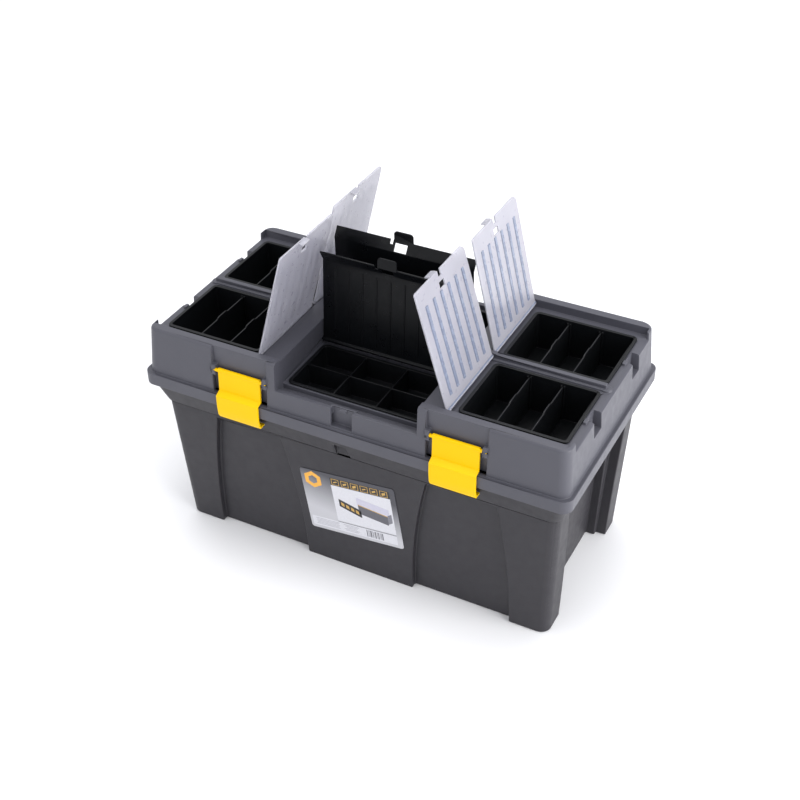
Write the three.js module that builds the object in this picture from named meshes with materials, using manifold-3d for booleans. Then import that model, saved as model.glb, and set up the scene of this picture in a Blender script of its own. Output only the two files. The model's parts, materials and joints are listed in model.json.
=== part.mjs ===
// Toolbox with organiser lid: a deep bin, a hinged lid that carries six small-part trays under six
// covers, two snap latches, a folding carry handle and a lift-out tray. Millimetres, +Z up, +X along
// the length, the front faces -Y, origin on the floor under the middle of the box.
// Rest position: lid and latches shut, all six organiser covers swung open against their stops.
import * as THREE from 'three';
import { mergeVertices } from 'three/addons/utils/BufferGeometryUtils.js';
import Module from 'manifold-3d';

const wasm = await Module();
wasm.setup();

// ---- overall sizes ----
const LENGTH = 560; // over the lid's rim band
const DEPTH = 295; // over the lid's rim band
const BIN_HEIGHT = 220; // floor to the bin's rim
const LID_HEIGHT = 79; // lid's lower edge to its top
const WALL = 3; // bin wall and floor
const SKIN = 3; // lid wall and decks
const CORNER = 13; // upright corners, outside
const GAP = 0.3; // between pieces that rest on each other
const SLACK = 0.6; // around pieces that turn or slide

// ---- lid shell ----
const BAND_HEIGHT = 16.5; // rim band along the lid's lower edge
const BAND_STAND = 4.5; // how far the band stands proud of the wall
const LID_DRAFT = 4.2; // the wall leans in by this much to the top
const TOP_ROLL = 2.5; // chamfer along the top edge
const RIM_WIDTH = 13; // flat top of the front and back walls
const DECK_DROP = 11; // side deck below the lid's top
const BLOCK_DROP = 3; // top of the two hinge blocks below the lid's top
const CENTRE_DROP = 36; // centre deck below the lid's top
const STEP_DROP = 7; // groove between centre deck and outer wall
const STEP_WIDTH = 12;
const WELL_HALF = 92.5; // half length of the centre well
const BLOCK_WIDTH = 25.5; // hinge block, from the well to the side deck
const TROUGH_DEPTH = 18; // handle trough below the centre deck
const FOOT_RIDGE = 5.5; // half width of the ridge's foot between front and back side trays
const RIDGE_HALF = 3; // half width of the ridge's upper part, between the clear covers
const RIDGE_RISE = 8;
const RIDGE_STEP = 2.8; // height of the ridge's wide foot
const SNAP_SLOT = 27.6; // slot in the centre of the front wall, for the cover's tab
const SNAP_DEPTH = 7;
const SNAP_DROP = 24;
const SNAP_SHIFT = -4; // slot's place along the wall
const END_NOTCH = 22; // notch in the end walls under each clear cover's tab
const END_NOTCH_DEPTH = 22;
const END_NOTCH_Y = [-52, 73]; // middle of the front and back notches
const END_WALL_DROP = 6; // slope of the end wall's top towards the outside
const END_RISE_WIDTH = 7.8; // raised corner of an end wall, inside the front or back rim
const END_WALL = 11.2; // lid band to the inner face of the end walls' raised corners
const HOOK_WIDTH = 8; // hook that the clear cover snaps over

// ---- side trays, dividers and clear covers ----
const TRAY_GAP = 9; // centre plane to a side tray's flange
const TRAY_TO_RIM = 11.8; // a side tray's flange to the front or back rim
const TRAY_TO_END = 8.3; // a side tray's flange to the end wall
const TRAY_HEIGHT = 52;
const TRAY_WALL = 1.8;
const FLANGE = 2.3; // flange outside the tray's wall
const FLANGE_THICK = 2.4;
const TRAY_FIT = 0.8; // tray body to the lid's well
const TRAY_CORNER = 7;
const DIVIDER_THICK = 1.8;
const DIVIDERS = 2;
const GUIDE = 2.4; // how far a slot guide stands out of the tray's wall
const DIVIDER_BELOW = 4; // divider's top edge below the flange
const TAB_RISE = 2.2; // finger tab on a divider
const COVER_TO_END = 0.8; // a shut clear cover's free edge to the end wall's raised corners
const COVER_THICK = 2;
const COVER_MARGIN = 1.2; // cover's sides to the ridge and to the rim
// degrees past upright when open
const COVER_LEAN = { front_right: 16, back_right: 13, front_left: 15.5, back_left: 13.5 };
const COVER_TAB = 15; // finger tab in the middle of the free edge
const COVER_SLOT = 7; // open slot beside the tab
const COVER_SLOT_SHIFT = -2.5; // slot's middle from the cover's middle, towards the front
const COVER_LIFT = 6; // cover's hinge axis above the side deck
const BARREL = 2.5; // radius of a clear cover's hinge barrel
const TRUNNION = 1.7; // radius of the pivots on covers
const COVER_CORNERS = { front: 2.5, back: 9 }; // radii of the free corners
const COVER_RIBS = 6;
const RIB_WIDTH = 5;
const RIB_RISE = 1.2;

// ---- centre trays and black covers ----
const TRAY_TO_WELL = 4.5; // a centre tray's flange to the well's walls
const CENTRE_TRAY_TO_RIM = 4.8; // a centre tray's outer flange edge to the rim's inner plane
const FLAP_TO_TRAY = 4.5; // hinge axis of a centre cover to the tray's flange
const CENTRE_TRAY_HEIGHT = 30;
const FLAP_TO_WELL = 1.5; // a centre cover's ends to the well's walls
const FLAP_LIP = 14.5; // bent lip along the free edge
const FLAP_LIP_ANGLE = (33 * Math.PI) / 180; // below the cover's plane
const FLAP_THICK = 2;
const FLAP_BARREL = 3;
const FLAP_INSET = 9.8; // the bend of a shut centre cover, inside the lid band
const FLAP_AXIS = { front: 27.5, back: 14 }; // hinge axis from the centre plane
const FLAP_LIFT = 6.3; // hinge axis above the centre deck
const FLAP_LEAN = { front: 4, back: 2.5 }; // degrees past upright when open
const FLAP_TAB = 25; // finger tab on the lip
const FLAP_TAB_RISE = 11;
const FLAP_TAB_SHIFT = -2; // towards the left of the box
const FLAP_HOLE = 16; // hole in the lip that the lid's tooth catches
const FLAP_NOTCH = 4; // notch beside the tab

// ---- latches ----
const LATCH_X = 141.5; // middle of a latch from the box's middle
const LATCH_WIDTH = 58;
const LATCH_THICK = 3;
const LATCH_BAY = LATCH_WIDTH + 17; // recess in the lid's front wall
const LATCH_BAY_DEPTH = 6;
const LATCH_AXIS_DROP = 31; // pivot below the lid's top
const LATCH_PIVOT = 2.2; // trunnion radius
const LATCH_STAND = 0.8; // gap to the rim band
const LATCH_REACH = 15.5; // how far the latch hangs below the lid
const CATCH_TOP = 6; // catch ridge below the bin's rim
const CATCH_HEIGHT = 6;
const HOOK = 2.4;

// ---- carry handle ----
const HANDLE_LIFT = 5; // pivot above the centre deck
const HANDLE_ARM = 20;
const HANDLE_ARM_THICK = 6;
const GRIP = 15; // height of the grip's section
const HANDLE_PIN = 2.5;
const HANDLE_SIDE = 1; // arm to the well's wall

// ---- bin ----
const COLLAR_HEIGHT = 30; // tapered collar under the rim
const COLLAR_INSET = 5.5; // collar's top inside the lid band
const COLLAR_TAPER = 10;
const WALL_INSET = 17; // bin wall inside the lid band, under the collar
const FOOT_INSET_X = 25; // at the floor, inside the lid band
const FOOT_INSET_Y = 29;
const PANEL_DEPTH = 8; // sunk front and back panels
const PANEL_TOP = 186;
const BULGE_TOP = 98; // half width of the middle bulge at the top
const BULGE_FOOT = 75;
const PILASTER_TOP = 188; // inner edge of a corner pilaster at the top
const PILASTER_FOOT = 205;
const END_DEPTHS = [13, 25]; // the two steps of the sunk end
const END_FOOT = [80, 74]; // half widths of those steps at the floor
const END_TOP = [95, 74];
const NOTCH_X = -8; // padlock notch in the collar
const NOTCH_WIDTH = 20;
const NOTCH_RISE = 18; // its top above the collar's foot

// ---- hinge ----
const HINGE_X = 150; // middle of a hinge from the box's middle
const HINGE_OUT = 4.8; // axis behind the lid band
const KNUCKLE = 4; // radius
const KNUCKLE_LENGTH = 17;
const PIN = 1.9;
const BORE = 2.3;

// ---- lift-out tray ----
const LIFT_HEIGHT = 50;
const LIFT_Z = 150; // its underside, on the bin's end ledges
const LIFT_CLEAR_X = 8; // to the bin's sunk end
const LIFT_CLEAR_Y = 32.5; // to the bin's wall below the collar
const LIFT_WALL = 2.2;
const LIFT_BAYS = 3; // cross bays in the front half
const LEDGE = 20; // how far an end ledge reaches in
const LEDGE_THICK = 6;
const LEDGE_HALF = 40;
const BAR_HALF = 62; // lift handle
const BAR_RISE = 24;
const BAR_THICK = 12;

// ---- label ----
const LABEL_WIDTH = 131;
const LABEL_HEIGHT = 97;
const LABEL_Z = 106;
const LABEL_X = -4;
const LABEL_THICK = 0.4;
const LABEL_TURN = 5.9; // degrees; stuck on slightly crooked

// ---- levels and planes that follow from the sizes ----
const LID_Z = BIN_HEIGHT + 0.8;
const LID_TOP = LID_Z + LID_HEIGHT;
const BAND_TOP = LID_Z + BAND_HEIGHT;
const DECK_Z = LID_TOP - DECK_DROP;
const CENTRE_Z = LID_TOP - CENTRE_DROP;
const HALF_X = LENGTH / 2;
const HALF_Y = DEPTH / 2;
const DRAFT_X = (FOOT_INSET_X - WALL_INSET) / (BIN_HEIGHT - COLLAR_HEIGHT);
const DRAFT_Y = (FOOT_INSET_Y - WALL_INSET) / (BIN_HEIGHT - COLLAR_HEIGHT);
const BLOCK_X = WELL_HALF + BLOCK_WIDTH;
const COVER_AXIS_X = BLOCK_X + BARREL + 1.5;
const COVER_AXIS_Z = DECK_Z + COVER_LIFT;
const TRAY_X = COVER_AXIS_X + BARREL + 4.5; // inner edge of a side tray's flange
const TRAY_TOP = DECK_Z + GAP + FLANGE_THICK;
const FLAP_AXIS_Z = CENTRE_Z + FLAP_LIFT;
const LATCH_AXIS_Z = LID_TOP - LATCH_AXIS_DROP;
const LID_WALL_Y = HALF_Y - BAND_STAND - LID_DRAFT / 2;
const BAY_Y = LID_WALL_Y - LATCH_BAY_DEPTH + 1;
const LATCH_AXIS_Y = BAY_Y + 4.4;
const HINGE_Y = HALF_Y + HINGE_OUT;
const RIM_Y = HALF_Y - BAND_STAND - LID_DRAFT - RIM_WIDTH; // inner face of the front and back rims
const END_X = HALF_X - END_WALL;
const END_RISE_Y = RIM_Y - END_RISE_WIDTH; // the end walls rise to full height beyond this
const COVER_LENGTH = END_X - COVER_TO_END - COVER_AXIS_X; // hinge axis to free edge
const TRAY_LENGTH = END_X - TRAY_TO_END - TRAY_X;
const TRAY_WIDTH = RIM_Y - TRAY_TO_RIM - TRAY_GAP;
const CENTRE_TRAY_EDGE = RIM_Y - CENTRE_TRAY_TO_RIM; // centre plane to the outer flange edge
const CENTRE_TRAY_HALF = WELL_HALF - TRAY_TO_WELL;
const FLAP_HALF = WELL_HALF - FLAP_TO_WELL;
const FLAP_REACH = HALF_Y - FLAP_INSET; // centre plane to the bend when shut
const LIFT_WIDTH = 2 * (HALF_Y - WALL_INSET - LIFT_CLEAR_Y);
const COVER_SPAN = [RIDGE_HALF + COVER_MARGIN, RIM_Y - COVER_MARGIN]; // a clear cover's two sides
const TROUGH = [-FLAP_AXIS.front + FLAP_BARREL + 1.5, FLAP_AXIS.back - FLAP_BARREL - 1];
const HANDLE_AXIS_Y = TROUGH[1] - 6.5;
const centreTrayWidth = (end) => CENTRE_TRAY_EDGE - FLAP_AXIS[end] - FLAP_TO_TRAY;
const centreTrayMiddle = (end) => (end === 'front' ? -1 : 1) * (CENTRE_TRAY_EDGE - centreTrayWidth(end) / 2);
const SEGMENTS = 4; // steps in a quarter turn

// ---- solids ----
const ordered = (a, b) => (a < b ? [a, b] : [b, a]);

const solid = (geometry) => {
  const bare = geometry.index ? geometry : geometry.clone();
  bare.deleteAttribute('normal');
  bare.deleteAttribute('uv');
  const merged = mergeVertices(bare, 1e-4);
  return new wasm.Manifold(new wasm.Mesh({
    numProp: 3,
    vertProperties: new Float32Array(merged.attributes.position.array),
    triVerts: new Uint32Array(merged.index.array),
  }));
};
const join = (...pieces) => pieces.reduce((whole, piece) => whole.add(piece));
const cut = (base, ...tools) => tools.reduce((left, tool) => left.subtract(tool), base);

function geometryOf(manifold) {
  const mesh = manifold.getMesh();
  const geometry = new THREE.BufferGeometry();
  geometry.setAttribute('position', new THREE.BufferAttribute(mesh.vertProperties, 3));
  geometry.setIndex(new THREE.BufferAttribute(mesh.triVerts, 1));
  return geometry;
}

// A box between two opposite corners.
function block(x0, x1, y0, y1, z0, z1) {
  const size = [Math.abs(x1 - x0), Math.abs(y1 - y0), z1 - z0];
  const box = new THREE.BoxGeometry(...size);
  return solid(box.translate((x0 + x1) / 2, (y0 + y1) / 2, (z0 + z1) / 2));
}

function roundedRect(halfX, halfY, radius) {
  const shape = new THREE.Shape();
  const quarter = Math.PI / 2;
  const corners = [[1, 1], [-1, 1], [-1, -1], [1, -1]];
  corners.forEach(([sx, sy], i) => {
    shape.absarc(sx * (halfX - radius), sy * (halfY - radius), radius, i * quarter, (i + 1) * quarter);
  });
  return shape;
}

// An upright solid with the given outline.
function prism(shape, z0, z1) {
  const options = { depth: z1 - z0, bevelEnabled: false, curveSegments: SEGMENTS };
  return new THREE.ExtrudeGeometry(shape, options).translate(0, 0, z0);
}

// A rounded box whose sides lean: its half sizes at the foot and at the top differ.
function drafted(foot, top, z0, z1, radius) {
  const geometry = prism(roundedRect(foot[0], foot[1], radius), z0, z1);
  const at = geometry.attributes.position;
  for (let i = 0; i < at.count; i += 1) {
    const rise = (at.getZ(i) - z0) / (z1 - z0);
    at.setX(i, at.getX(i) + Math.sign(at.getX(i)) * (top[0] - foot[0]) * rise);
    at.setY(i, at.getY(i) + Math.sign(at.getY(i)) * (top[1] - foot[1]) * rise);
  }
  return solid(geometry);
}

const upright = (halfX, halfY, z0, z1, radius) => solid(prism(roundedRect(halfX, halfY, radius), z0, z1));

// A closed outline of [across, up] points.
function outline(points) {
  const shape = new THREE.Shape();
  points.forEach(([u, v], i) => (i ? shape.lineTo(u, v) : shape.moveTo(u, v)));
  return shape;
}

// A side profile of [y, z] points, carried along X.
function alongX(shape, x0, x1) {
  const options = { depth: x1 - x0, bevelEnabled: false, curveSegments: SEGMENTS };
  const geometry = new THREE.ExtrudeGeometry(shape, options);
  geometry.rotateY(Math.PI / 2).rotateX(Math.PI / 2);
  return solid(geometry.translate(x0, 0, 0));
}

// A front profile of [x, z] points, carried along Y.
function alongY(shape, y0, y1) {
  const options = { depth: y1 - y0, bevelEnabled: false, curveSegments: SEGMENTS };
  const geometry = new THREE.ExtrudeGeometry(shape, options);
  return solid(geometry.rotateX(Math.PI / 2).translate(0, y1, 0));
}

function rodX(x0, x1, y, z, radius) {
  const rod = new THREE.CylinderGeometry(radius, radius, x1 - x0, 4 * SEGMENTS);
  return solid(rod.rotateZ(Math.PI / 2).translate((x0 + x1) / 2, y, z));
}

function rodY(y0, y1, x, z, radius) {
  const rod = new THREE.CylinderGeometry(radius, radius, y1 - y0, 4 * SEGMENTS);
  return solid(rod.translate(x, (y0 + y1) / 2, z));
}

// ---- bin ----
// Half width of a curved panel edge at height z: straight near the foot, swept out towards the top.
const sweep = (foot, top, z) => foot + (top - foot) * (Math.max(z, 0) / PANEL_TOP) ** 2;

// Front and back views of the sunk panels; `grow` widens them for the inner face of the wall.
function frontPanel(side, grow) {
  const steps = 8;
  const inner = [];
  const outer = [];
  for (let i = 0; i <= steps; i += 1) {
    const z = -2 * WALL + ((PANEL_TOP + grow + 2 * WALL) * i) / steps;
    inner.push([side * (sweep(BULGE_FOOT, BULGE_TOP, z) - grow), z]);
    outer.push([side * (sweep(PILASTER_FOOT, PILASTER_TOP, z) + grow), z]);
  }
  return outline([...inner, ...outer.reverse()]);
}

function endPanel(step, grow) {
  const steps = 6;
  const foot = -2 * WALL;
  const half = (z) => sweep(END_FOOT[step], END_TOP[step], z) + grow;
  const points = [];
  for (let i = 0; i <= steps; i += 1) {
    const z = foot + ((PANEL_TOP + grow - foot) * i) / steps;
    points.push([half(z), z]);
  }
  const mirrored = points.map(([y, z]) => [-y, z]).reverse();
  return outline([...points, ...mirrored]);
}

// Leans a solid so that its planes of constant x or y follow the drafted wall.
function lean(manifold, slopeX, slopeY) {
  const geometry = geometryOf(manifold);
  const at = geometry.attributes.position;
  for (let i = 0; i < at.count; i += 1) {
    at.setX(i, at.getX(i) + slopeX * at.getZ(i));
    at.setY(i, at.getY(i) + slopeY * at.getZ(i));
  }
  return solid(geometry);
}

// The bin's solid form, drawn in by `inset` all round: 0 for the outside, WALL for the hollow.
function binForm(inset, z0, z1) {
  const footX = HALF_X - FOOT_INSET_X;
  const footY = HALF_Y - FOOT_INSET_Y;
  const wallTop = BIN_HEIGHT - COLLAR_HEIGHT;
  const wall = [HALF_X - WALL_INSET - inset, HALF_Y - WALL_INSET - inset];
  const radius = CORNER - inset;
  let form = drafted([footX - inset + DRAFT_X * z0, footY - inset + DRAFT_Y * z0], wall, z0, wallTop, radius);
  const reach = 4 * WALL;
  for (const side of [-1, 1]) {
    const panel = alongY(frontPanel(side, inset), footY - PANEL_DEPTH - inset, footY + reach);
    form = cut(form, lean(panel, 0, DRAFT_Y));
    const back = alongY(frontPanel(side, inset), -footY - reach, -footY + PANEL_DEPTH + inset);
    form = cut(form, lean(back, 0, -DRAFT_Y));
    for (const [step, depth] of END_DEPTHS.entries()) {
      const span = ordered(side * (footX - depth - inset), side * (footX + reach));
      form = cut(form, lean(alongX(endPanel(step, inset), ...span), side * DRAFT_X, 0));
    }
  }
  const collarTop = [HALF_X - COLLAR_INSET - inset, HALF_Y - COLLAR_INSET - inset];
  const collarFoot = collarTop.map((half) => half - COLLAR_TAPER);
  return join(form, drafted(collarFoot, collarTop, wallTop - inset, z1, radius));
}

// The collar's outer face at height z, from the centre plane.
const collarHalfY = (z) => HALF_Y - COLLAR_INSET - (COLLAR_TAPER * (BIN_HEIGHT - z)) / COLLAR_HEIGHT;

function hingeLugs(side) {
  const reach = HALF_Y - COLLAR_INSET - WALL;
  const pieces = [];
  for (const along of [-1, 1]) {
    const middle = side * HINGE_X + along * (KNUCKLE_LENGTH + SLACK);
    const x0 = middle - KNUCKLE_LENGTH / 2;
    const x1 = middle + KNUCKLE_LENGTH / 2;
    const webTop = BIN_HEIGHT - 2;
    const web = outline([[reach, webTop - 20], [reach, webTop], [HINGE_Y, webTop],
      [HINGE_Y + KNUCKLE - 0.5, webTop], [reach + 6, webTop - 20]]);
    pieces.push(join(alongX(web, x0, x1), rodX(x0, x1, HINGE_Y, LID_Z, KNUCKLE)));
  }
  return join(...pieces);
}

function makeBin() {
  const reach = HALF_X - FOOT_INSET_X - END_DEPTHS[1] + DRAFT_X * LIFT_Z - WALL;
  let bin = cut(binForm(0, 0, BIN_HEIGHT), binForm(WALL, WALL, BIN_HEIGHT + 1));
  const catchTop = BIN_HEIGHT - CATCH_TOP;
  const catchY = collarHalfY(catchTop);
  for (const side of [-1, 1]) {
    const x = side * LATCH_X;
    const ridge = block(x - 15, x + 15, -catchY - HOOK, -catchY + 2, catchTop - CATCH_HEIGHT, catchTop);
    const ledgeX = ordered(side * (reach - LEDGE), side * (reach + 1));
    const ledge = block(...ledgeX, -LEDGE_HALF, LEDGE_HALF, LIFT_Z - GAP - LEDGE_THICK, LIFT_Z - GAP);
    bin = join(bin, ridge, ledge, hingeLugs(side));
    bin = cut(bin, rodX(x - 60, x + 80, HINGE_Y, LID_Z, BORE));
  }
  const collarFoot = BIN_HEIGHT - COLLAR_HEIGHT;
  const face = -(HALF_Y - WALL_INSET);
  const cheek = NOTCH_WIDTH / 2 + WALL;
  const pocket = block(NOTCH_X - cheek, NOTCH_X + cheek, face - 8, face + WALL,
    collarFoot - WALL, collarFoot + NOTCH_RISE + WALL).intersect(binForm(0, 0, BIN_HEIGHT));
  const notch = alongY(outline([[NOTCH_X - NOTCH_WIDTH / 2, collarFoot - 6],
    [NOTCH_X + NOTCH_WIDTH / 2, collarFoot - 6], [NOTCH_X + NOTCH_WIDTH / 2 - 4, collarFoot + NOTCH_RISE],
    [NOTCH_X - NOTCH_WIDTH / 2, collarFoot + NOTCH_RISE]]), face - 20, face);
  return cut(join(bin, pocket), notch);
}

// ---- lid ----
function lidWall(inset, z0, z1) {
  const foot = [HALF_X - BAND_STAND - inset, HALF_Y - BAND_STAND - inset];
  const top = foot.map((half) => half - LID_DRAFT);
  return drafted(foot, top, z0, z1, CORNER - inset);
}

function lidOutside() {
  const band = upright(HALF_X, HALF_Y, LID_Z, BAND_TOP, CORNER);
  const wall = lidWall(0, BAND_TOP - 1, LID_TOP - TOP_ROLL);
  const foot = [HALF_X - BAND_STAND - LID_DRAFT, HALF_Y - BAND_STAND - LID_DRAFT];
  const roll = drafted(foot, foot.map((half) => half - TOP_ROLL), LID_TOP - TOP_ROLL, LID_TOP, CORNER);
  return join(band, wall, roll);
}

// The hollow under the decks.
function lidUnderside() {
  const inner = lidWall(SKIN, LID_Z - 1, LID_TOP - TOP_ROLL);
  const wellWall = WELL_HALF + SKIN;
  const stepY = CENTRE_TRAY_EDGE - 2;
  const bayWall = BAY_Y - SKIN;
  const low = LID_Z - 1;
  let hollow = block(-wellWall, wellWall, -stepY, stepY, low, CENTRE_Z - SKIN);
  for (const side of [-1, 1]) {
    const beside = ordered(side * wellWall, side * HALF_X);
    const hingeBlock = ordered(side * wellWall, side * (BLOCK_X - SKIN));
    const step = ordered(side * stepY, side * HALF_Y);
    hollow = join(
      hollow,
      block(-wellWall, wellWall, ...step, low, CENTRE_Z - STEP_DROP - SKIN),
      block(...beside, -HALF_Y, HALF_Y, low, DECK_Z - SKIN),
      block(...hingeBlock, -RIM_Y + SKIN, RIM_Y - SKIN, low, LID_TOP - BLOCK_DROP - SKIN),
    );
  }
  hollow = hollow.intersect(inner);
  for (const side of [-1, 1]) {
    const x = side * LATCH_X;
    const half = LATCH_BAY / 2 + SKIN;
    hollow = cut(hollow, block(x - half, x + half, -HALF_Y, -bayWall, BAND_TOP, LID_TOP));
  }
  const trough = block(-wellWall, wellWall, TROUGH[0] - SKIN, TROUGH[1] + SKIN,
    CENTRE_Z - TROUGH_DEPTH - SKIN, CENTRE_Z);
  return cut(hollow, trough);
}

// A side well's or centre well's hole through its deck.
const wellHole = (halfX, halfY) => upright(halfX - FLANGE + TRAY_FIT, halfY - FLANGE + TRAY_FIT, LID_Z,
  LID_TOP + 1, TRAY_CORNER - 1);

// Everything open from above: side decks, centre well, trough and the holes the trays hang in.
function lidTopside() {
  const stepY = CENTRE_TRAY_EDGE + 1.5;
  const up = LID_TOP + 1;
  const pieces = [
    block(-BLOCK_X - 1, BLOCK_X + 1, -RIM_Y, RIM_Y, LID_TOP - BLOCK_DROP, up),
    block(-WELL_HALF, WELL_HALF, -HALF_Y - 1, HALF_Y + 1, CENTRE_Z, up),
    block(-WELL_HALF, WELL_HALF, ...TROUGH, CENTRE_Z - TROUGH_DEPTH, up),
  ];
  for (const side of [-1, 1]) {
    const end = side < 0 ? 'front' : 'back';
    const outer = HALF_X + 1;
    const slope = outline([[side * END_X, DECK_Z], [side * (END_X - 5), DECK_Z], [side * (END_X - 5), up],
      [side * outer, up], [side * outer, DECK_Z - END_WALL_DROP]]);
    pieces.push(
      block(...ordered(side * BLOCK_X, side * END_X), -RIM_Y, RIM_Y, DECK_Z, up),
      block(...ordered(side * BLOCK_X, side * outer), -END_RISE_Y, END_RISE_Y, DECK_Z, up),
      alongY(slope, -END_RISE_Y, END_RISE_Y),
      block(-WELL_HALF, WELL_HALF, ...ordered(side * stepY, side * (stepY + STEP_WIDTH)),
        CENTRE_Z - STEP_DROP, up),
      wellHole(CENTRE_TRAY_HALF, centreTrayWidth(end) / 2).translate([0, centreTrayMiddle(end), 0]),
    );
    for (const front of [-1, 1]) {
      const y = front * (TRAY_GAP + TRAY_WIDTH / 2);
      const well = wellHole(TRAY_LENGTH / 2, TRAY_WIDTH / 2);
      pieces.push(well.translate([side * (TRAY_X + TRAY_LENGTH / 2), y, 0]));
    }
  }
  return join(...pieces);
}

// Ridges between the front and back side trays, with a boss for the hinges and a knob at the end.
function lidRidges() {
  const pieces = [];
  const boss = COVER_AXIS_Z + TRUNNION + 2;
  const end = TRAY_X + TRAY_LENGTH + 2;
  for (const side of [-1, 1]) {
    const run = ordered(side * (BLOCK_X - 1), side * end);
    pieces.push(block(...run, -FOOT_RIDGE, FOOT_RIDGE, DECK_Z - 1, DECK_Z + RIDGE_STEP));
    pieces.push(block(...run, -RIDGE_HALF, RIDGE_HALF, DECK_Z - 1, DECK_Z + RIDGE_RISE));
    const knob = new THREE.CylinderGeometry(FOOT_RIDGE + 1, FOOT_RIDGE + 1, RIDGE_STEP + 1, 4 * SEGMENTS);
    knob.rotateX(Math.PI / 2).translate(side * end, 0, DECK_Z + RIDGE_STEP / 2 - 0.5);
    pieces.push(solid(knob));
    const lugX = ordered(side * (BLOCK_X - 1), side * (COVER_AXIS_X + 5));
    pieces.push(block(...lugX, -RIDGE_HALF, RIDGE_HALF, DECK_Z - 1, boss));
    for (const middle of END_NOTCH_Y) {
      const hook = middle - END_NOTCH / 2 - HOOK_WIDTH / 2 - 1;
      const hookX = ordered(side * (end - 1), side * (end + 3));
      pieces.push(block(...hookX, hook - HOOK_WIDTH / 2, hook + HOOK_WIDTH / 2, DECK_Z - 1, DECK_Z + 3.5));
    }
  }
  return join(...pieces);
}

function lidPivotBores() {
  const bore = TRUNNION + 0.4;
  const flapReach = WELL_HALF + SKIN - 1;
  const pieces = [rodX(-WELL_HALF - SKIN - 1, WELL_HALF + SKIN + 1, HANDLE_AXIS_Y, CENTRE_Z + HANDLE_LIFT,
    HANDLE_PIN + GAP)];
  for (const side of [-1, 1]) {
    const y = side * FLAP_AXIS[side < 0 ? 'front' : 'back'];
    pieces.push(rodX(-flapReach, flapReach, y, FLAP_AXIS_Z, bore));
    const x = side * COVER_AXIS_X;
    pieces.push(rodY(-RIDGE_HALF - 1, RIDGE_HALF + 1, x, COVER_AXIS_Z, bore));
    pieces.push(rodY(RIM_Y - 1, RIM_Y + 3, x, COVER_AXIS_Z, bore));
    pieces.push(rodY(-RIM_Y - 3, 1 - RIM_Y, x, COVER_AXIS_Z, bore));
  }
  return join(...pieces);
}

function latchBays() {
  const pieces = [];
  for (const side of [-1, 1]) {
    const x = side * LATCH_X;
    const bay = block(x - LATCH_BAY / 2, x + LATCH_BAY / 2, -HALF_Y - 1, -BAY_Y, BAND_TOP, LID_TOP + 1);
    pieces.push(bay);
  }
  return join(...pieces);
}

// Two cheeks in each latch bay that hold the latch's trunnions.
function latchCheeks() {
  const pieces = [];
  for (const side of [-1, 1]) {
    for (const end of [-1, 1]) {
      const outer = side * LATCH_X + (end * LATCH_BAY) / 2;
      const x = ordered(outer + end, outer - end * 5);
      const z = LATCH_AXIS_Z;
      const cheek = block(...x, -LATCH_AXIS_Y - 2.5, -BAY_Y + 1, z - 7, z + 7);
      pieces.push(cut(cheek, rodX(x[0] - 1, x[1] + 1, -LATCH_AXIS_Y, z, LATCH_PIVOT + 0.3)));
    }
  }
  return join(...pieces);
}

function snapSlots() {
  const pieces = [];
  for (const front of [-1, 1]) {
    const x = -front * SNAP_SHIFT;
    const y = ordered(front * (HALF_Y + 1), front * (LID_WALL_Y - SNAP_DEPTH + 1));
    const floor = CENTRE_Z - SNAP_DROP;
    pieces.push(block(x - SNAP_SLOT / 2, x + SNAP_SLOT / 2, ...y, floor, CENTRE_Z + 1));
  }
  return join(...pieces);
}

// Walls behind the snap slots, with the small ledge that the cover's tab hooks over.
function snapBacks() {
  const pieces = [];
  for (const front of [-1, 1]) {
    const x = -front * SNAP_SHIFT;
    const back = LID_WALL_Y - SNAP_DEPTH + 1;
    const half = SNAP_SLOT / 2 + SKIN;
    const floor = CENTRE_Z - SNAP_DROP;
    const y = ordered(front * back, front * (back - SKIN));
    const sill = ordered(front * (back - SKIN), front * (LID_WALL_Y));
    const tooth = ordered(front * (back - 0.5), front * (back + 2.6));
    pieces.push(
      block(x - half, x + half, ...y, floor - SKIN, CENTRE_Z),
      block(x - half, x + half, ...sill, floor - SKIN, floor),
      block(x - 5, x + 5, ...tooth, CENTRE_Z - 5, CENTRE_Z - 1),
    );
  }
  return join(...pieces);
}

function endNotches() {
  const pieces = [];
  const x0 = TRAY_X + TRAY_LENGTH + 2;
  for (const side of [-1, 1]) {
    for (const y of END_NOTCH_Y) {
      const x = ordered(side * x0, side * (HALF_X + 1));
      pieces.push(block(...x, y - END_NOTCH / 2, y + END_NOTCH / 2, DECK_Z - END_NOTCH_DEPTH, DECK_Z + 1));
    }
  }
  return join(...pieces);
}

// Pockets behind the end notches, so that the lid stays closed there.
function endPockets() {
  const pieces = [];
  const x0 = TRAY_X + TRAY_LENGTH;
  const x1 = HALF_X - BAND_STAND - LID_DRAFT;
  for (const side of [-1, 1]) {
    for (const y of END_NOTCH_Y) {
      const half = END_NOTCH / 2 + 2;
      const x = ordered(side * x0, side * x1);
      pieces.push(block(...x, y - half, y + half, DECK_Z - END_NOTCH_DEPTH - SKIN, DECK_Z - 1));
    }
  }
  return join(...pieces);
}

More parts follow.
